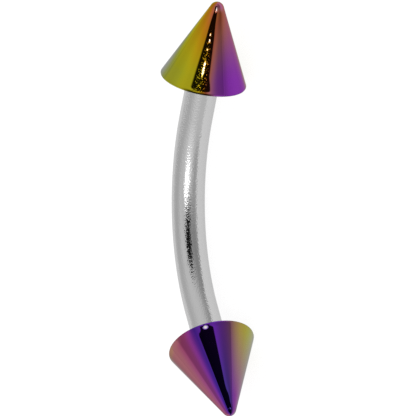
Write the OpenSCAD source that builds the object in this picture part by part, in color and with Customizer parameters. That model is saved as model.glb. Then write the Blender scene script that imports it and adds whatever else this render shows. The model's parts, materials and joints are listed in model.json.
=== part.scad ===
// Curved barbell for an eyebrow piercing: a bent round bar with a screw-on cone at each end.
// Millimetres. It lies as it would on a table, touching it at both cone rims and at the middle of
// the bar. The origin is under the middle of its outline. +X runs along the bar to the upper cone.

/* [Bar] */
// Diameter of the bar
bar_d = 1.2; // [1:0.05:1.6]
// Straight distance between the flat bases of the two cones
bar_span = 9.5; // [8:0.25:12]
// Radius of the bend, at the middle of the bar's thickness
bend_r = 7.35; // [6.5:0.05:9]
// Length of the straight stretch at each end of the bend
end_straight = 1.42; // [0.8:0.02:2]

/* [Threaded ends] */
// How far each end reaches into its cone
post_len = 1.45; // [1:0.05:1.6]
// Plain length before the thread starts
post_plain = 0.2; // [0.1:0.05:0.4]
// Distance from one thread ridge to the next
thread_pitch = 0.25; // [0.2:0.05:0.35]
// Depth of the thread
thread_depth = 0.13; // [0.08:0.01:0.14]
// Full angle between the two sides of a ridge
thread_angle = 60; // [50:1:60]
// How far the thread's ridges stay inside the bar's own surface
thread_inset = 0.02; // [0.01:0.01:0.04]

/* [Cones] */
// Diameter of a cone's base, over the round of its rim
cone_d = 3.13; // [2.8:0.01:4]
// Height of a cone from its base to its tip
cone_h = 3.06; // [2.6:0.02:4]
// Radius of the round at the tip
tip_r = 0.26; // [0.15:0.01:0.4]
// Radius of the round at the rim
rim_r = 0.07; // [0.04:0.01:0.15]
// Gap all round between the bar and the hole in the cone
bore_gap = 0.03; // [0.02:0.01:0.06]
// How much further the hole goes than the bar
bore_spare = 0.1; // [0.05:0.05:0.2]
// Width of the bevel at the mouth of the hole
mouth_bevel = 0.1; // [0.05:0.01:0.15]
// Full angle of the drill's point at the end of the hole
drill_angle = 118; // [90:1:140]

/* [Hidden] */
$fn = 96;
ARC_STEPS = 8;
BEND_OVERRUN = 2;

bar_r = bar_d / 2;

// The bend, from the span and the straight ends: half its angle, and how far the middle hangs
// below the line that joins the cones' bases
half_bend = asin(bar_span / 2 / norm([bend_r, end_straight])) - atan(end_straight / bend_r);
sag = bend_r * (1 - cos(half_bend)) + end_straight * sin(half_bend);

// The cone's side is the line that touches the rim's round and the tip's round, and side_angle is
// how far the side faces up. The rim's round touches the base too.
rim_centre = cone_d / 2 - rim_r;
rounds_apart = cone_h - tip_r - rim_r;
side_angle = acos((tip_r - rim_r) / norm([rim_centre, rounds_apart])) - atan(rounds_apart / rim_centre);

// The hole in a cone
bore_r = bar_r + bore_gap;
bore_depth = post_len + bore_spare;
drill_h = bore_r / tan(drill_angle / 2);

// How it lies: turned about the line through the cones' bases until the rims and the middle of the
// bar are at one height. Each rim's lowest point is at
//     rim_r * k * s - rim_centre * sqrt(1 - (k * s)^2) - rim_r
// and the bar's is at -sag * s - bar_r, where s is the sine of the tilt and k that of half the bend.
k = sin(half_bend);
lean_a = sag + rim_r * k;
lean_b = bar_r - rim_r;
lean_c = pow(lean_a, 2) + pow(rim_centre * k, 2);
lean = (sqrt(pow(lean_a * lean_b, 2) - lean_c * (pow(lean_b, 2) - pow(rim_centre, 2)))
        - lean_a * lean_b) / lean_c;
tilt = asin(lean);
base_height = sag * lean + bar_r;

// The outline's reach to the bar's side and to the cones' side, measured from the bases' centres
bar_reach = sag * cos(tilt) + bar_r;
out = -k * cos(tilt);
rim_reach = rim_r * out - rim_centre * sqrt(1 - pow(out, 2)) - rim_r;
tip_reach = (cone_h - tip_r) * out - tip_r;
y_mid = (bar_reach + min(rim_reach, tip_reach)) / 2;

// Points along a round, from one angle to another
function round_points(centre, r, from, to) =
    [for (i = [0 : ARC_STEPS]) let (a = from + (to - from) * i / ARC_STEPS)
        centre + r * [cos(a), sin(a)]];

module as_it_lies() {
    translate([0, -y_mid, base_height]) rotate([180 - tilt, 0, 0]) children();
}

// Puts what is drawn along +Z at an end of the bar, with Z = 0 on the cone's base
module at_end(side) {
    mirror([side < 0 ? 1 : 0, 0, 0]) translate([bar_span / 2, 0, 0]) rotate([0, 90, half_bend]) children();
}

// Half the outline of an end of the bar, from where the bend stops: straight, then ridges
module end_outline() {
    crest = bar_r - thread_inset;
    root = crest - thread_depth;
    slope = thread_depth * tan(thread_angle / 2);
    crest_half = thread_pitch / 16;
    turns = floor((post_len - post_plain) / thread_pitch);
    length = end_straight + post_len;
    start = length - turns * thread_pitch;
    ridges = [for (i = [0 : turns - 1]) let (z = start + (i + 0.5) * thread_pitch)
        each [
            [root, z - crest_half - slope], [crest, z - crest_half],
            [crest, z + crest_half], [root, z + crest_half + slope]
        ]];
    polygon(concat(
        [[0, 0], [bar_r, 0], [bar_r, start - slope], [root, start]],
        ridges,
        [[root, length], [0, length]]
    ));
}

// The bar up to its middle: half the bend, run on a little and cut off there, with one straight end
module half_bar() {
    reach = bar_span + post_len;
    intersection() {
        translate([0, bend_r - sag, 0]) rotate([0, 0, -90 - half_bend]) {
            rotate_extrude(angle = half_bend + BEND_OVERRUN) translate([bend_r, 0]) circle(r = bar_r);
            translate([bend_r, 0, 0]) rotate([90, 0, 0]) rotate_extrude() end_outline();
        }
        translate([-reach, -reach, -reach]) cube([reach, 2 * reach, 2 * reach]);
    }
}

module bar() {
    color("gainsboro") as_it_lies() {
        half_bar();
        mirror([1, 0, 0]) half_bar();
    }
}

// Half the outline of a cone: the flat base, the rim's round, the side and the tip's round
module cone_outline() {
    polygon(concat(
        [[0, 0]],
        round_points([rim_centre, rim_r], rim_r, -90, side_angle),
        round_points([0, cone_h - tip_r], tip_r, side_angle, 90)
    ));
}

// Half the outline of the hole, from below the mouth to the drill's point
module bore_outline() {
    below = mouth_bevel;
    polygon([
        [0, -below],
        [bore_r + mouth_bevel + below, -below],
        [bore_r, mouth_bevel],
        [bore_r, bore_depth],
        [0, bore_depth + drill_h]
    ]);
}

module cone() {
    rotate_extrude() difference() {
        cone_outline();
        bore_outline();
    }
}

module upper_cone() {
    color("darkorchid") as_it_lies() at_end(1) cone();
}

module lower_cone() {
    color("mediumvioletred") as_it_lies() at_end(-1) cone();
}

bar();
upper_cone();
lower_cone();
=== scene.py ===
"""The looks of the curved eyebrow barbell: a bent bar of polished steel with a rainbow-coated cone on
each end. It lies on a bright white table under a soft studio light, and the frame gives its places."""
import json
import math
from types import SimpleNamespace

import bmesh
import bpy
from mathutils import Matrix, Vector


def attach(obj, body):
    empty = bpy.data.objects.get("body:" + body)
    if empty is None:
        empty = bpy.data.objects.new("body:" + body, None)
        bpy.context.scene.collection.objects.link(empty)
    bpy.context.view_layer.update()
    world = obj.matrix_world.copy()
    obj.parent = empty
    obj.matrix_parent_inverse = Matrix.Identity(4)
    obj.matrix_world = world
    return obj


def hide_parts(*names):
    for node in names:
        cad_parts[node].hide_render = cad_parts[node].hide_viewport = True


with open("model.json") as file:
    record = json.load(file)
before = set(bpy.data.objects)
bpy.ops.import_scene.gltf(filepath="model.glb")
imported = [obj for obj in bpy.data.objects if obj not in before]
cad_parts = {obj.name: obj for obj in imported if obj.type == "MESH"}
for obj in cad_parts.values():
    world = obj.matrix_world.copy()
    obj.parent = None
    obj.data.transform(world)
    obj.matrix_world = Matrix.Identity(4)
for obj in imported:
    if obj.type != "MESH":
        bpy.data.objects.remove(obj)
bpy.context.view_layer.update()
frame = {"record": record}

MM = 0.001
TURN = 2 * math.pi

# Sizes of the bar, in metres, as the CAD part has them
BAR_R = 0.6 * MM
BEND_R = 7.35 * MM
END_STRAIGHT = 1.42 * MM
POST_LEN = 1.45 * MM
# The plain start of a post, and the slope in it from the bar's own thickness to the thread's root
POST_PLAIN = 0.2 * MM
POST_SLOPE = 0.075 * MM
THREAD_PITCH = 0.25 * MM
THREAD_DEPTH = 0.13 * MM
THREAD_CREST_R = 0.58 * MM
# Turns over which the thread rises from its root
THREAD_RUN_IN = 0.6
# Half the width of a thread's ridge at its foot, and the width of its flank, in turns
RIDGE_FOOT = 0.36
RIDGE_FLANK = 0.28

# Sizes of a cone
CONE_R = 1.565 * MM
CONE_H = 3.06 * MM
TIP_R = 0.26 * MM
RIM_R = 0.07 * MM
BORE_R = 0.63 * MM
BORE_DEPTH = 1.55 * MM
MOUTH_BEVEL = 0.1 * MM
DRILL_ANGLE = math.radians(118)
# How far the cone's own thread stands in from the wall of its hole; it stays clear of the bar's
BORE_THREAD_DEPTH = 0.03 * MM
# Where that thread starts above the bevel, and how far below the bore's end it stops
BORE_THREAD_START = 0.01 * MM
BORE_THREAD_STOP = 0.06 * MM

# How finely the round pieces are cut
BAR_SIDES = 128
CONE_SIDES = 160
BAR_STEP = 0.08 * MM
THREAD_STEP = THREAD_PITCH / 20
BORE_STEP = THREAD_PITCH / 12
TIP_CUTS = 14
SIDE_CUTS = 24
RIM_CUTS = 12
# Rings on the plain start of a post, in mm from the cone's base
POST_RINGS = (0.06, 0.115, 0.125, 0.135, 0.16, 0.19)
# The ring on the flat end of a post, as a share of its radius
END_RING = 0.6
# Rings on a cone's flat base, on its bevel and on the drill's cone in its hole, as shares of each
BASE_RINGS = (0.02, 0.5, 0.98)
BEVEL_RINGS = (0.05, 0.5, 0.95, 1.0)
DRILL_RINGS = (0.04, 0.5, 0.9)
# Edges that bend more than this stay sharp
SHARP = math.radians(35)

# The camera, in metres and degrees: where it stands from the point that it looks at, and how it is
# turned about its own axis. The lens and the sensor are in mm.
CAMERA_AIM = Vector((0.15, -0.247, 1.483)) * MM
CAMERA_AZIMUTH = -100.7437
CAMERA_ELEVATION = 59.8174
CAMERA_ROLL = -82.42
CAMERA_DISTANCE = 0.5
CAMERA_LENS = 1203.985
SENSOR = 36


def spot(azimuth, elevation):
    """The unit vector of a compass direction and a height above the horizon, both in degrees."""
    a, e = math.radians(azimuth), math.radians(elevation)
    return Vector((math.cos(e) * math.cos(a), math.cos(e) * math.sin(a), math.sin(e)))


# Places, all from the frame
mounts = {m["name"]: m for m in frame["record"]["mounts"]}


def seat(name):
    """The middle of a cone's flat base and the way its tip points."""
    m = mounts[name]
    return Vector(m["pos_m"]), -Vector(m["axis"]).normalized()


UPPER_BASE, UPPER_AXIS = seat("upper_seat")
LOWER_BASE, LOWER_AXIS = seat("lower_seat")
# Square to the plane of the bend, on the side that faces up
BEND_NORMAL = LOWER_AXIS.cross(UPPER_AXIS).normalized()


def end_matrix(base, axis):
    """An end's own frame: z outwards along the bar, x square to the plane of the bend."""
    y = axis.cross(BEND_NORMAL).normalized()
    x = y.cross(axis)
    return Matrix((
        (x.x, y.x, axis.x, base.x),
        (x.y, y.y, axis.y, base.y),
        (x.z, y.z, axis.z, base.z),
        (0, 0, 0, 1),
    ))


def make_camera():
    """A camera so far away that perspective hardly shows, as in the photo."""
    towards = spot(CAMERA_AZIMUTH, CAMERA_ELEVATION)
    level = Vector((0, 0, 1)).cross(towards).normalized()
    up = towards.cross(level)
    turned = Matrix.Rotation(math.radians(CAMERA_ROLL), 3, towards)
    right, up = turned @ level, turned @ up
    place = CAMERA_AIM + CAMERA_DISTANCE * towards
    data = bpy.data.cameras.new("camera")
    data.lens = CAMERA_LENS
    data.sensor_width = SENSOR
    data.clip_start = 0.01
    data.clip_end = 10
    camera = bpy.data.objects.new("camera", data)
    bpy.context.scene.collection.objects.link(camera)
    camera.matrix_world = Matrix((
        (right.x, up.x, towards.x, place.x),
        (right.y, up.y, towards.y, place.y),
        (right.z, up.z, towards.z, place.z),
        (0, 0, 0, 1),
    ))
    bpy.context.scene.camera = camera


def node(tree, kind, inputs=None, **settings):
    """Adds a node. inputs maps the name or number of a socket to a value or to another node's output."""
    new = tree.nodes.new("ShaderNode" + kind)
    for key, value in settings.items():
        setattr(new, key, value)
    for key, value in (inputs or {}).items():
        if isinstance(value, bpy.types.NodeSocket):
            tree.links.new(value, new.inputs[key])
        else:
            new.inputs[key].default_value = value
    return new


def math_node(tree, operation, *values):
    """One step of arithmetic on numbers or sockets."""
    return node(tree, "Math", dict(enumerate(values)), operation=operation).outputs[0]


def vector_node(tree, operation, *vectors):
    """One step of arithmetic on vectors."""
    return node(tree, "VectorMath", dict(enumerate(vectors)), operation=operation).outputs[0]


def scaled(tree, vector, size):
    """A vector or a colour times a number."""
    return node(tree, "VectorMath", {0: vector, "Scale": size}, operation="SCALE").outputs[0]


def mix(tree, share, first, second):
    """A number between two others, by share from 0 to 1."""
    return node(tree, "Mix", {0: share, 2: first, 3: second}, data_type="FLOAT").outputs[0]


def mix_colour(tree, share, first, second):
    """A colour between two others, by share from 0 to 1."""
    return node(tree, "Mix", {0: share, 6: first, 7: second}, data_type="RGBA").outputs[2]


def ease(tree, value, low, high, to_low=0.0, to_high=1.0):
    """Runs smoothly from one number to another as value goes from low to high."""
    inputs = {0: value, 1: low, 2: high, 3: to_low, 4: to_high}
    return node(tree, "MapRange", inputs, interpolation_type="SMOOTHSTEP").outputs[0]


def curve(tree, value, points):
    """Straight lines from point to point, for a value from 0 to 1."""
    new = node(tree, "FloatCurve", {1: value})
    line = new.mapping.curves[0]
    for x, y in points[1:-1]:
        line.points.new(x, y)
    line.points[0].location = points[0]
    line.points[len(points) - 1].location = points[-1]
    for point in line.points:
        point.handle_type = "VECTOR"
    new.mapping.update()
    return new.outputs[0]


# Keeps a patch off the half of the sky that is behind it
LEAST_AHEAD = 0.02


def patch(tree, direction, centre, tilt, half_width, half_height, soft):
    """A soft-edged oval in the sky: 1 inside, 0 outside. Sizes and tilt are in degrees."""
    aim = spot(*centre)
    level = Vector((0, 0, 1)).cross(aim).normalized()
    across = Matrix.Rotation(math.radians(tilt), 3, aim) @ level
    rise = aim.cross(across)

    def share_of(axis):
        return node(tree, "VectorMath", {0: direction, 1: axis}, operation="DOT_PRODUCT").outputs["Value"]

    ahead = math_node(tree, "MAXIMUM", share_of(aim), LEAST_AHEAD)
    reach = []
    for axis, half in ((across, half_width), (rise, half_height)):
        edge = math_node(tree, "MULTIPLY", ahead, math.tan(math.radians(half)))
        share = math_node(tree, "DIVIDE", share_of(axis), edge)
        reach.append(math_node(tree, "MULTIPLY", share, share))
    reach = math_node(tree, "SQRT", math_node(tree, "ADD", *reach))
    return ease(tree, reach, 1 - soft, 1 + soft, 1.0, 0.0)


# How bright the tent's plain walls are, and what hangs in it: centre (azimuth, elevation), tilt, half
# width and half height in degrees, softness of its edge, brightness
TENT_LEVEL = 0.83
TENT_PATCHES = (
    # a dimmer wall behind the bar, with a brighter fold
    ((112, 31), 87, 22.5, 44, 0.68, 0.67),
    ((24.5, 48), 142, 12.5, 50, 0.62, 0.9),
    # a bright low wall
    ((114, 17.7), 120, 15, 25, 0.25, 1.0),
    # the room's dark side and the lighter part low in it
    ((-67, 28), 55, 28, 54.5, 0.98, 0.38),
    ((-103.5, 32), 59, 31, 15.5, 0.52, 0.56),
    # the main panel with its glow
    ((-136.5, 59.5), -43, 25.5, 17.5, 0.97, 1.25),
    ((-125, 69.3), -73, 13.5, 7.2, 0.1, 3.8),
    # the black opening for the lens and the black strip beside it
    ((-40, 61.5), 36, 18.5, 13.5, 0.1, 0.016),
    ((-74.5, 62), 62, 21, 5, 0.1, 0.016),
)


def make_world():
    """A soft white tent with a dark side, a bright panel and a black opening, plain white behind all."""
    world = bpy.data.worlds.new("tent")
    bpy.context.scene.world = world
    world.use_nodes = True
    tree = world.node_tree
    tree.nodes.clear()
    way = node(tree, "TexCoord").outputs["Generated"]
    light = TENT_LEVEL
    for *shape, level in TENT_PATCHES:
        light = mix(tree, patch(tree, way, *shape), light, level)
    seen = node(tree, "LightPath").outputs["Is Camera Ray"]
    light = mix(tree, seen, light, 1.0)
    shade = node(tree, "Background", {"Color": (1, 1, 1, 1), "Strength": light})
    node(tree, "OutputWorld", {0: shade.outputs[0]})


# Half the table's width in metres, how light its top is and how much it glows
TABLE_HALF = 1.5
TABLE_COLOUR = (0.25, 0.25, 0.25, 1)
TABLE_ROUGHNESS = 0.8
TABLE_GLOW = 0.87


def make_table():
    """A wide white table top that glows a little, as a light table does."""
    mesh = bpy.data.meshes.new("table")
    corners = [(x * TABLE_HALF, y * TABLE_HALF, 0) for x, y in ((-1, -1), (1, -1), (1, 1), (-1, 1))]
    mesh.from_pydata(corners, [], [(0, 1, 2, 3)])
    table = bpy.data.objects.new("table", mesh)
    bpy.context.scene.collection.objects.link(table)
    material = bpy.data.materials.new("white_table")
    material.use_nodes = True
    shader = material.node_tree.nodes["Principled BSDF"]
    shader.inputs["Base Color"].default_value = TABLE_COLOUR
    shader.inputs["Roughness"].default_value = TABLE_ROUGHNESS
    shader.inputs["Specular IOR Level"].default_value = 0.0
    shader.inputs["Emission Color"].default_value = (1, 1, 1, 1)
    shader.inputs["Emission Strength"].default_value = TABLE_GLOW
    mesh.materials.append(material)


def finish_mesh(name, verts, faces):
    """Makes an object of a list of corners and faces, smooth apart from its sharp edges."""
    mesh = bpy.data.meshes.new(name)
    mesh.from_pydata(verts, [], faces)
    bm = bmesh.new()
    bm.from_mesh(mesh)
    bmesh.ops.recalc_face_normals(bm, faces=bm.faces)
    bm.to_mesh(mesh)
    bm.free()
    mesh.shade_smooth()
    mesh.set_sharp_from_angle(angle=SHARP)
    obj = bpy.data.objects.new(name, mesh)
    bpy.context.scene.collection.objects.link(obj)
    return obj


def skin(rings, sides):
    """Corners and faces of a closed surface: rings of corners from one pole to the other."""
    verts = [rings[0]]
    faces = []
    for ring in rings[1:-1]:
        verts.extend(ring)
    verts.append(rings[-1])
    last = len(verts) - 1
    count = len(rings) - 2
    for j in range(sides):
        k = (j + 1) % sides
        faces.append((0, 1 + k, 1 + j))
        end = 1 + (count - 1) * sides
        faces.append((last, end + j, end + k))
    for i in range(count - 1):
        a, b = 1 + i * sides, 1 + (i + 1) * sides
        for j in range(sides):
            k = (j + 1) % sides
            faces.append((a + j, a + k, b + k, b + j))
    return verts, faces


def ridge(turns):
    """Height of a screw ridge, 0 at its root and 1 at its crest, by how many turns along it is."""
    away = abs(turns - round(turns))
    return min(1.0, max(0.0, (RIDGE_FOOT - away) / RIDGE_FLANK))


def smooth_step(x):
    """Runs smoothly from 0 to 1 as x does."""
    x = min(1.0, max(0.0, x))
    return x * x * (3 - 2 * x)


def post_radius(d, angle):
    """The radius of a threaded end, at d from the cone's base."""
    root = THREAD_CREST_R - THREAD_DEPTH
    shoulder = POST_PLAIN - POST_SLOPE
    if d <= shoulder:
        return BAR_R
    if d <= POST_PLAIN:
        return BAR_R + (root - BAR_R) * (d - shoulder) / (POST_PLAIN - shoulder)
    rise = smooth_step((d - POST_PLAIN) / (THREAD_RUN_IN * THREAD_PITCH))
    chamfer = min(1.0, max(0.0, (POST_LEN - d) / THREAD_DEPTH))
    height = min(ridge((d - POST_PLAIN) / THREAD_PITCH - angle / TURN), chamfer)
    return root + THREAD_DEPTH * height * rise


def make_bar():
    """One skin over the whole bar: threaded end, straight, bend, straight, threaded end."""
    half_bend = math.acos(UPPER_AXIS.x)
    arc = BEND_R * half_bend
    half = arc + END_STRAIGHT
    along_x = Vector((1, 0, 0))
    hang = BEND_NORMAL.cross(along_x)
    bend_centre = UPPER_BASE - END_STRAIGHT * UPPER_AXIS + BEND_R * UPPER_AXIS.cross(BEND_NORMAL)

    def middle(s):
        """The point on the bar's middle line at s from its centre, and the way out of the bend there."""
        side = 1 if s >= 0 else -1
        turn = min(abs(s), arc) / BEND_R
        out = math.cos(turn) * hang + side * math.sin(turn) * along_x
        on = side * math.cos(turn) * along_x - math.sin(turn) * hang
        return bend_centre + BEND_R * out + (abs(s) - turn * BEND_R) * on, out

    count = 2 * int(half / BAR_STEP)
    plain = [half * (2 * i / count - 1) for i in range(count + 1)]
    shoulder = [d * MM for d in POST_RINGS]
    turns = round((POST_LEN - POST_PLAIN) / THREAD_STEP)
    thread = [POST_PLAIN + THREAD_STEP * i for i in range(turns)] + [POST_LEN]
    ends = shoulder + thread
    places = [-(half + d) for d in reversed(ends)] + plain + [half + d for d in ends]
    rings = []
    for s in places:
        point, out = middle(s)
        ring = []
        for j in range(BAR_SIDES):
            angle = TURN * j / BAR_SIDES
            r = post_radius(abs(s) - half, angle if s > 0 else -angle)
            ring.append(point + r * (math.cos(angle) * out + math.sin(angle) * BEND_NORMAL))
        rings.append(ring)
    tips = [middle(places[0])[0], middle(places[-1])[0]]
    inner = []
    for tip, ring in zip(tips, (rings[0], rings[-1])):
        inner.append([tip + END_RING * (p - tip) for p in ring])
    rings = [tips[0], inner[0]] + rings + [inner[1], tips[1]]
    verts, faces = skin(rings, BAR_SIDES)
    return finish_mesh("curved_bar", verts, faces)


def cone_profile():
    """(radius, height, thread) from the tip's pole, down the side, round the rim and up the hole."""
    reach, rise = CONE_R - RIM_R, CONE_H - TIP_R - RIM_R
    side = math.acos((TIP_R - RIM_R) / math.hypot(reach, rise)) - math.atan2(rise, reach)
    line = [(0, CONE_H, 0)]
    for i in range(1, TIP_CUTS + 1):
        a = math.pi / 2 + (side - math.pi / 2) * i / TIP_CUTS
        line.append((TIP_R * math.cos(a), CONE_H - TIP_R + TIP_R * math.sin(a), 0))
    top, bottom = line[-1], (reach + RIM_R * math.cos(side), RIM_R + RIM_R * math.sin(side), 0)
    for i in range(1, SIDE_CUTS):
        t = i / SIDE_CUTS
        line.append((top[0] + (bottom[0] - top[0]) * t, top[1] + (bottom[1] - top[1]) * t, 0))
    for i in range(RIM_CUTS + 1):
        a = side + (-math.pi / 2 - side) * i / RIM_CUTS
        line.append((reach + RIM_R * math.cos(a), RIM_R + RIM_R * math.sin(a), 0))
    mouth = BORE_R + MOUTH_BEVEL
    for t in BASE_RINGS:
        line.append((reach + (mouth - reach) * t, 0, 0))
    line.append((mouth, 0, 0))
    for t in BEVEL_RINGS:
        line.append((mouth - MOUTH_BEVEL * t, MOUTH_BEVEL * t, 0))
    for i in range(int((BORE_DEPTH - MOUTH_BEVEL - BORE_THREAD_STOP) / BORE_STEP)):
        line.append((BORE_R, MOUTH_BEVEL + BORE_THREAD_START + i * BORE_STEP, 1))
    line.append((BORE_R, BORE_DEPTH, 0))
    drill = BORE_R / math.tan(DRILL_ANGLE / 2)
    for t in DRILL_RINGS:
        line.append((BORE_R * (1 - t), BORE_DEPTH + drill * t, 0))
    line.append((0, BORE_DEPTH + drill, 0))
    return line


def make_cone(name, place):
    """A cone with a rounded rim and tip, and a blind threaded hole in its flat base."""
    rings = []
    profile = cone_profile()
    for r, h, thread in profile:
        if r == 0:
            rings.append((0, 0, h))
            continue
        ring = []
        for j in range(CONE_SIDES):
            angle = TURN * j / CONE_SIDES
            wall = r - (BORE_THREAD_DEPTH * ridge(h / THREAD_PITCH - angle / TURN) if thread else 0)
            ring.append((wall * math.cos(angle), wall * math.sin(angle), h))
        rings.append(ring)
    verts, faces = skin(rings, CONE_SIDES)
    cone = finish_mesh(name, [place @ Vector(v) for v in verts], faces)
    # The hole has the second material. The faces come as the two poles' by turns, then ring by ring.
    mouth = [r for r, h, thread in profile].index(BORE_R + MOUTH_BEVEL)
    for i, face in enumerate(cone.data.polygons):
        ring = i // CONE_SIDES - 1
        face.material_index = int(i % 2 == 1 if ring < 1 else ring >= mouth)
    return cone


# Polished steel: how much light it gives back at a flat angle, the size of a patch of even polish in
# grains, the levels of its noise from which and to which it changes, and how much the patches differ
STEEL_TINT = (0.8, 0.8, 0.8, 1)
PATCH_GRAINS = 8
PATCH_LEVELS = (0.35, 0.65)
PATCH_CHANGE = 0.2


def steel_material(name, colour, roughness, grain, height):
    """Polished steel: a fine uneven polish that breaks sharp reflections into specks."""
    material = bpy.data.materials.new(name)
    material.use_nodes = True
    tree = material.node_tree
    shader = tree.nodes["Principled BSDF"]
    shader.inputs["Base Color"].default_value = (*colour, 1)
    shader.inputs["Specular Tint"].default_value = STEEL_TINT
    shader.inputs["Metallic"].default_value = 1
    place = node(tree, "TexCoord").outputs["Object"]
    fine = node(tree, "TexNoise", {"Vector": place, "Scale": 1 / grain, "Detail": 1.0, "Roughness": 0.5})
    bump = node(tree, "Bump", {"Height": fine.outputs[0], "Strength": 1.0, "Distance": height})
    wide = node(tree, "TexNoise", {"Vector": place, "Scale": 1 / (PATCH_GRAINS * grain), "Detail": 2.0})
    least, most = (1 - PATCH_CHANGE) * roughness, (1 + PATCH_CHANGE) * roughness
    rough = ease(tree, wide.outputs[0], *PATCH_LEVELS, least, most)
    tree.links.new(rough, shader.inputs["Roughness"])
    tree.links.new(bump.outputs[0], shader.inputs["Normal"])
    return material


# Colours of each coating from its thinnest to its thickest. The lower cone's differs at its tip.
UPPER_FILM = (
    (0.00, (0.33, 0.35, 0.33)),
    (0.08, (0.30, 0.32, 0.22)),
    (0.16, (0.28, 0.30, 0.12)),
    (0.24, (0.29, 0.31, 0.05)),
    (0.32, (0.36, 0.355, 0.015)),
    (0.40, (0.42, 0.36, 0.01)),
    (0.48, (0.46, 0.30, 0.007)),
    (0.56, (0.47, 0.21, 0.007)),
    (0.62, (0.48, 0.16, 0.015)),
    (0.67, (0.46, 0.11, 0.05)),
    (0.74, (0.52, 0.16, 0.11)),
    (0.80, (0.46, 0.14, 0.20)),
    (0.88, (0.37, 0.09, 0.38)),
    (0.94, (0.34, 0.06, 0.50)),
    (1.00, (0.35, 0.045, 0.60)),
)
LOWER_FILM = (
    (0.00, (0.50, 0.50, 0.34)),
    (0.05, (0.50, 0.50, 0.28)),
    (0.10, (0.43, 0.43, 0.18)),
    (0.15, (0.40, 0.40, 0.095)),
    (0.20, (0.41, 0.36, 0.06)),
    (0.26, (0.40, 0.30, 0.07)),
    (0.32, (0.31, 0.18, 0.095)),
    (0.36, (0.20, 0.08, 0.11)),
    (0.41, (0.22, 0.06, 0.31)),
    (0.46, (0.24, 0.055, 0.54)),
    (0.50, (0.26, 0.045, 0.72)),
    (0.60, (0.18, 0.035, 0.50)),
    (0.67, (0.06, 0.015, 0.24)),
    (0.70, (0.11, 0.02, 0.24)),
    (0.74, (0.28, 0.04, 0.28)),
    (0.79, (0.33, 0.055, 0.18)),
    (0.84, (0.35, 0.06, 0.16)),
    (0.89, (0.40, 0.11, 0.17)),
    (0.92, (0.43, 0.14, 0.17)),
    (0.97, (0.44, 0.16, 0.18)),
    (1.00, (0.45, 0.22, 0.15)),
)
LOWER_TIP_FILM = (
    (0.00, (0.46, 0.36, 0.44)),
    (0.05, (0.39, 0.25, 0.41)),
    (0.10, (0.34, 0.18, 0.34)),
    (0.18, (0.30, 0.10, 0.33)),
    (0.26, (0.25, 0.055, 0.31)),
    (0.33, (0.19, 0.045, 0.31)),
    (0.38, (0.19, 0.05, 0.39)),
    (0.43, (0.12, 0.06, 0.45)),
    (0.50, (0.12, 0.075, 0.55)),
    (0.60, (0.10, 0.055, 0.47)),
    (0.67, (0.055, 0.02, 0.28)),
    (0.70, (0.10, 0.025, 0.34)),
    (0.74, (0.21, 0.04, 0.39)),
    (0.79, (0.28, 0.055, 0.28)),
    (0.84, (0.34, 0.07, 0.28)),
    (0.90, (0.38, 0.095, 0.25)),
    (0.95, (0.41, 0.12, 0.21)),
    (1.00, (0.42, 0.14, 0.20)),
)

# The coating of each cone. Degrees go round the cone, heights are in mm from its base, and a reach is
# from the middle of a spot to its edge.
#   films: the film at the rim, and the one at the tip if that differs
#   rim, tip: how thick the coating is round the cone at either end, as (degrees, thickness)
#   spread: the heights between which the rim passes into the tip
#   edge: how much thicker it is at the very rim, as (degrees, thickness)
#   cap: how much thicker it is on the ball of the tip, the middle in degrees, its reach
#   painted shade at the rim: where painted shade darkens the very rim, in degrees, and its reach
#   painted light: painted light and shade, how much the colour is brightened or darkened round the cone
#       to follow what the side reflects, as (degrees, share)
#   lean, turn: how far its facing leans to the tip or turns round the axis, as (degrees, radians)
#   dents: lean, turn, middle in degrees, reach, middle height, reach, and how much a painted highlight
#       whitens the colour there
#   ragged: how ragged the edges of the leaning dents are
#   flat: the same lean on the ball of the tip, the middle in degrees, its reach
#   pits: the pitted strip: middle in degrees, reach, middle height, reach
UPPER_COAT = dict(
    films=(UPPER_FILM,),
    rim=(
        (-180, 0.4), (-100, 0.1), (-25, 0.02), (-15, 0.08), (-5, 0.21), (5, 0.3), (25, 0.31), (35, 0.37),
        (45, 0.38), (60, 0.46), (75, 0.8), (85, 0.92), (95, 0.96), (105, 0.99), (125, 0.97), (142, 0.9),
        (180, 0.4),
    ),
    tip=(
        (-180, 0.5), (-100, 0.3), (-25, 0.4), (-15, 0.46), (-5, 0.54), (15, 0.6), (40, 0.67), (75, 0.65),
        (95, 0.66), (105, 0.7), (120, 0.74), (145, 0.78), (180, 0.5),
    ),
    spread=(0.55, 2.65),
    cap=(0.15, 80, 52),
    # painted shade that darkens the rim below the dark streak
    painted_dark_rim=(60, 27),
    painted_light=(
        # painted light and shade: the colour is brightened or darkened round the cone to follow what the
        # side reflects
        (-180, 0.8), (-60, 0.9), (-20, 1.15), (-12, 1.05), (-5, 0.85), (5, 1.0), (70, 1.0), (78, 0.95),
        (85, 0.7), (91, 0.53), (97, 0.37), (104, 0.5), (115, 0.58), (128, 0.64), (142, 0.9), (155, 1.0),
        (180, 0.8),
    ),
    dents=(
        # the long highlight low in the dark streak, three small ones above it and the one at the tip:
        # each leans to catch the lamp, and its colour is painted pale as a painted highlight
        (-0.15, 0, 60, 2.2, 0.88, 0.36, 0.55),
        (-0.14, 0, 59, 1.7, 1.52, 0.05, 0.2),
        (-0.14, 0, 60, 2.7, 1.8, 0.08, 0.7),
        (-0.14, 0, 58, 2.2, 2.02, 0.06, 0.35),
        (-0.14, 0, 62, 8, 2.85, 0.13, 1.0),
        # a slight turn that widens the dark streak at the rim, and one that shifts it at the tip
        (0, -0.07, 72, 9, 0.1, 0.6, 0),
        (0, 0.035, 60, 30, 2.5, 0.7, 0),
    ),
    ragged=1.2,
    pits=(60, 11, 0.4, 2.2),
)
LOWER_ROUND = (
    (-180, 0.16), (-155, 0.0), (0, 0.93), (8, 0.97), (30, 0.97), (80, 0.88), (110, 0.5), (150, 0.3),
    (180, 0.16),
)
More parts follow.
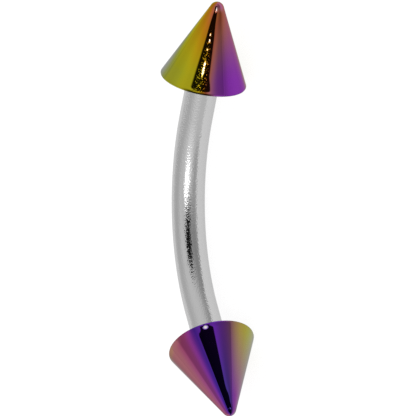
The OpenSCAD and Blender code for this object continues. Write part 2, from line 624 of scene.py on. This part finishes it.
LOWER_COAT = dict(
    films=(LOWER_FILM, LOWER_TIP_FILM),
    rim=LOWER_ROUND,
    tip=LOWER_ROUND,
    spread=(0.3, 2.5),
    edge=((-180, 0), (-40, 0), (-15, 0.06), (40, 0.06), (90, 0), (180, 0)),
    # painted shade that darkens the rim below the dark streak
    painted_dark_rim=(-58, 1),
    # painted light and shade: the colour is brightened or darkened round the cone to follow what the side
    # reflects
    painted_light=(
        (-180, 0.8), (-160, 0.85), (-146, 1.0), (-134, 0.9), (-120, 0.8), (-50, 0.8), (-36, 0.96),
        (-26, 0.83), (0, 0.8), (180, 0.8),
    ),
    lean=(
        (-180, 0), (-72, 0), (-69.5, 0.028), (-58, -0.036), (-50, -0.08), (-46.5, -0.08), (-45, 0),
        (180, 0),
    ),
    turn=((-180, 0), (-58, 0), (-47, -0.112), (-45, 0), (180, 0)),
    dents=(
        # the white spot at the rim: it leans to catch the lamp, and its colour is painted pale as a
        # painted highlight
        (0.14, 0, -59, 5, 0.16, 0.09, 1.0),
        # slight turns that widen the dark streak towards the tip and make it straight at the rim
        (0, 0.2, -77, 14, 2.9, 1.0, 0),
        (0, 0.2, -84, 20, 3.0, 0.35, 0),
        (0, 0.12, -48, 9, 0.05, 0.35, 0),
    ),
    ragged=0.3,
    flat=(-0.95, -70, 60),
)

# Heights in mm on either cone between which these fade: the thicker edge and the painted shade above the
# rim, and the cap, the painted light and shade as it turns even, and the flat ball at the tip
EDGE_FADE = (0.05, 0.35)
PAINTED_DARK_RIM_FADE = (0.07, 0.13)
CAP_FADE = (2.7, 2.95)
PAINTED_LIGHT_FADE = (2.75, 2.95)
FLAT_FADE = (2.92, 3.06)
# Where spots fade, from 0 in their middle to 1 on their edge
LEAN_FADE = (0.6, 1.0)
TURN_FADE = (0.2, 1.0)
PAINTED_HIGHLIGHT_FADE = (0.2, 0.8)
PITS_FADE = (0.3, 1.0)
HILL_TOP = 0.4
# How bright the painted light leaves the ball of the tip, and how much the painted shade darkens the very
# rim
TIP_PAINTED_LIGHT = 0.8
PAINTED_DARK_RIM_DEPTH = 0.95

# The finish under the coating, and the pale colour painted into the dents as a painted highlight
COAT_ROUGHNESS = 0.04
COAT_TINT = (0.52, 0.52, 0.52, 1)
COAT_GRAIN = 0.055 * MM
PAINTED_HIGHLIGHT_COLOUR = (0.8, 0.78, 0.74, 1)
# The grain is pitted where it is above the first level, and wholly from the second level on
PIT_LEVELS = (0.57, 0.75)
PIT_DEPTH = 0.004 * MM
# The most that the stops may lean or turn it, in radians
MOST_LEAN = 0.2


def round_curve(tree, at, stops):
    """A value from 0 to 1 that goes round the cone by stops in degrees."""
    return curve(tree, at.azimuth, [((degrees + 180) / 360, value) for degrees, value in stops])


def lean_curve(tree, at, stops):
    """A lean in radians, to either side, that goes round the cone by stops in degrees."""
    share = round_curve(tree, at, [(degrees, 0.5 + lean / (2 * MOST_LEAN)) for degrees, lean in stops])
    share = math_node(tree, "SUBTRACT", share, 0.5)
    return math_node(tree, "MULTIPLY", share, 2 * MOST_LEAN)


def hill(tree, value, middle, reach):
    """1 near the middle and 0 from reach on, to both sides."""
    away = math_node(tree, "ABSOLUTE", math_node(tree, "SUBTRACT", value, middle))
    return ease(tree, away, HILL_TOP * reach, reach, 1.0, 0.0)


def oval(tree, at, middle, reach, height, tall):
    """How far a point of the side is from the middle of an oval: 1 is on its edge."""
    across = math_node(tree, "DIVIDE", math_node(tree, "SUBTRACT", at.degrees, middle), reach)
    along = math_node(tree, "DIVIDE", math_node(tree, "SUBTRACT", at.height, height), tall)
    across = math_node(tree, "MULTIPLY", across, across)
    return math_node(tree, "SQRT", math_node(tree, "MULTIPLY_ADD", along, along, across))


def film_colour(tree, thick, film):
    """The colour of a coating by its thickness."""
    ramp = node(tree, "ValToRGB", {0: thick})
    stops = ramp.color_ramp.elements
    for share, _ in film[1:-1]:
        stops.new(share)
    for stop, (share, colour) in zip(stops, film):
        stop.position = share
        stop.color = (*colour, 1)
    return ramp.outputs[0]


def coat_place(tree, end):
    """Where a point is on its cone, as sockets, and the grain of the finish there."""
    place = node(tree, "TexCoord").outputs["Object"]
    turned = {"Vector": place, "Location": end.translation, "Rotation": end.to_euler()}
    own = node(tree, "Mapping", turned, vector_type="TEXTURE").outputs[0]
    xyz = node(tree, "SeparateXYZ", {0: own}).outputs
    angle = math_node(tree, "ARCTAN2", xyz[1], xyz[0])
    grain = {"Vector": place, "Scale": 1 / COAT_GRAIN, "Detail": 1.0, "Roughness": 0.5}
    return SimpleNamespace(
        azimuth=node(tree, "MapRange", {0: angle, 1: -math.pi, 2: math.pi}).outputs[0],
        degrees=math_node(tree, "MULTIPLY", angle, 180 / math.pi),
        height=math_node(tree, "DIVIDE", xyz[2], MM),
        fine=node(tree, "TexNoise", grain).outputs[0],
    )


def coat_dents(tree, coat, at):
    """How far its facing leans to the tip and turns round the axis, and how much a painted highlight
    whitens its colour.
    """
    ragged = coat["ragged"]
    uneven = math_node(tree, "MULTIPLY_ADD", at.fine, ragged, -ragged / 2)
    to_tip = lean_curve(tree, at, coat["lean"]) if "lean" in coat else 0.0
    sideways = lean_curve(tree, at, coat["turn"]) if "turn" in coat else 0.0
    painted_highlight = 0.0
    for lean, turn, middle, reach, height, tall, highlight_share in coat["dents"]:
        away = oval(tree, at, middle, reach, height, tall)
        if lean:
            away = math_node(tree, "ADD", away, uneven)
            dent = ease(tree, away, *LEAN_FADE, 1.0, 0.0)
            to_tip = math_node(tree, "MULTIPLY_ADD", dent, lean, to_tip)
            # Painted highlight: the colour turns pale in the middle of a dent
            painted_highlight = math_node(tree, "MULTIPLY_ADD", ease(tree, away, *PAINTED_HIGHLIGHT_FADE, 1.0, 0.0), highlight_share, painted_highlight)
        else:
            dent = ease(tree, away, *TURN_FADE, 1.0, 0.0)
            sideways = math_node(tree, "MULTIPLY_ADD", dent, turn, sideways)
    if "flat" in coat:
        lean, middle, reach = coat["flat"]
        low, high = FLAT_FADE
        ball = node(tree, "MapRange", {0: at.height, 1: low, 2: high, 4: lean}).outputs[0]
        to_tip = math_node(tree, "MULTIPLY_ADD", ball, hill(tree, at.degrees, middle, reach), to_tip)
    return to_tip, sideways, painted_highlight


def coat_colour(tree, coat, at, painted_highlight):
    """The colour of the coating by its thickness, brightened or darkened round the cone by painted light
    and shade, darkened at the rim by painted shade and whitened in the dents by painted highlights.
    """
    low, high = coat["spread"]
    up = node(tree, "MapRange", {0: at.height, 1: low, 2: high}).outputs[0]
    thick = mix(tree, up, round_curve(tree, at, coat["rim"]), round_curve(tree, at, coat["tip"]))
    if "edge" in coat:
        at_edge = ease(tree, at.height, *EDGE_FADE, 1.0, 0.0)
        thick = math_node(tree, "MULTIPLY_ADD", at_edge, round_curve(tree, at, coat["edge"]), thick)
    if "cap" in coat:
        more, middle, reach = coat["cap"]
        on_cap = ease(tree, at.height, *CAP_FADE, 0.0, more)
        thick = math_node(tree, "MULTIPLY_ADD", on_cap, hill(tree, at.degrees, middle, reach), thick)
    colours = [film_colour(tree, thick, film) for film in coat["films"]]
    colour = mix_colour(tree, up, *colours) if len(colours) == 2 else colours[0]
    # Painted light and shade: the colour is scaled round the cone to follow what the side reflects, and
    # evenly on the ball of the tip
    painted_light = mix(tree, ease(tree, at.height, *PAINTED_LIGHT_FADE), round_curve(tree, at, coat["painted_light"]), TIP_PAINTED_LIGHT)
    # Painted shade: the very rim is darkened in a band round the given degrees
    if "painted_dark_rim" in coat:
        dark = math_node(tree, "MULTIPLY", ease(tree, at.height, *PAINTED_DARK_RIM_FADE, PAINTED_DARK_RIM_DEPTH, 0.0),
                         hill(tree, at.degrees, *coat["painted_dark_rim"]))
        painted_light = math_node(tree, "MULTIPLY", painted_light, math_node(tree, "SUBTRACT", 1.0, dark))
    # Painted highlight: the colour is mixed towards a pale one in the dents
    return mix_colour(tree, painted_highlight, scaled(tree, colour, painted_light), PAINTED_HIGHLIGHT_COLOUR)


def coat_normal(tree, coat, at, end, to_tip, sideways):
    """The way the finish faces: the mesh's own, pitted in places, leaning and turned."""
    if "pits" in coat:
        strength = ease(tree, oval(tree, at, *coat["pits"]), *PITS_FADE, 1.0, 0.0)
        pits = {"Height": ease(tree, at.fine, *PIT_LEVELS), "Strength": strength, "Distance": PIT_DEPTH}
        normal = node(tree, "Bump", pits).outputs[0]
    else:
        normal = node(tree, "NewGeometry").outputs["Normal"]
    axis = node(tree, "VectorTransform", {0: end.to_3x3().col[2]}, vector_type="VECTOR",
                convert_from="OBJECT", convert_to="WORLD").outputs[0]
    round_it = vector_node(tree, "CROSS_PRODUCT", axis, normal)
    normal = vector_node(tree, "ADD", normal, scaled(tree, axis, to_tip))
    normal = vector_node(tree, "ADD", normal, scaled(tree, round_it, sideways))
    return vector_node(tree, "NORMALIZE", normal)


def coating_material(name, end, coat):
    """A mirror finish under a thin coating whose colour follows its thickness.

    The side is polished by hand, so it leans a little here and there, and its colour is painted pale in
    spots as a painted highlight."""
    material = bpy.data.materials.new(name)
    material.use_nodes = True
    tree = material.node_tree
    shader = tree.nodes["Principled BSDF"]
    shader.inputs["Metallic"].default_value = 1
    shader.inputs["Roughness"].default_value = COAT_ROUGHNESS
    shader.inputs["Specular Tint"].default_value = COAT_TINT
    at = coat_place(tree, end)
    to_tip, sideways, painted_highlight = coat_dents(tree, coat, at)
    tree.links.new(coat_colour(tree, coat, at, painted_highlight), shader.inputs["Base Color"])
    tree.links.new(coat_normal(tree, coat, at, end, to_tip, sideways), shader.inputs["Normal"])
    return material


make_camera()
make_world()
make_table()

bar = make_bar()
steel = steel_material(
    "polished_steel", colour=(0.52, 0.52, 0.52), roughness=0.04, grain=0.055 * MM, height=0.008 * MM)
bar.data.materials.append(steel)
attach(bar, "bar")
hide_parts("bar")

# The bare metal in the cones' holes
bare = steel_material(
    "machined_steel", colour=(0.5, 0.49, 0.48), roughness=0.3, grain=0.04 * MM, height=0.001 * MM)
upper_end = end_matrix(UPPER_BASE, UPPER_AXIS)
lower_end = end_matrix(LOWER_BASE, LOWER_AXIS)
upper_coat = coating_material("upper_coating", upper_end, UPPER_COAT)
lower_coat = coating_material("lower_coating", lower_end, LOWER_COAT)
for name, node_name, place, coat in (
    ("rainbow_upper_cone", "upper_cone", upper_end, upper_coat),
    ("rainbow_lower_cone", "lower_cone", lower_end, lower_coat),
):
    cone = make_cone(name, place)
    cone.data.materials.append(coat)
    cone.data.materials.append(bare)
    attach(cone, node_name)
    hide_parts(node_name)

bpy.context.scene.view_settings.view_transform = "Standard"
# The denoiser wipes out the fine specks of the polish
bpy.context.scene.cycles.use_denoising = False
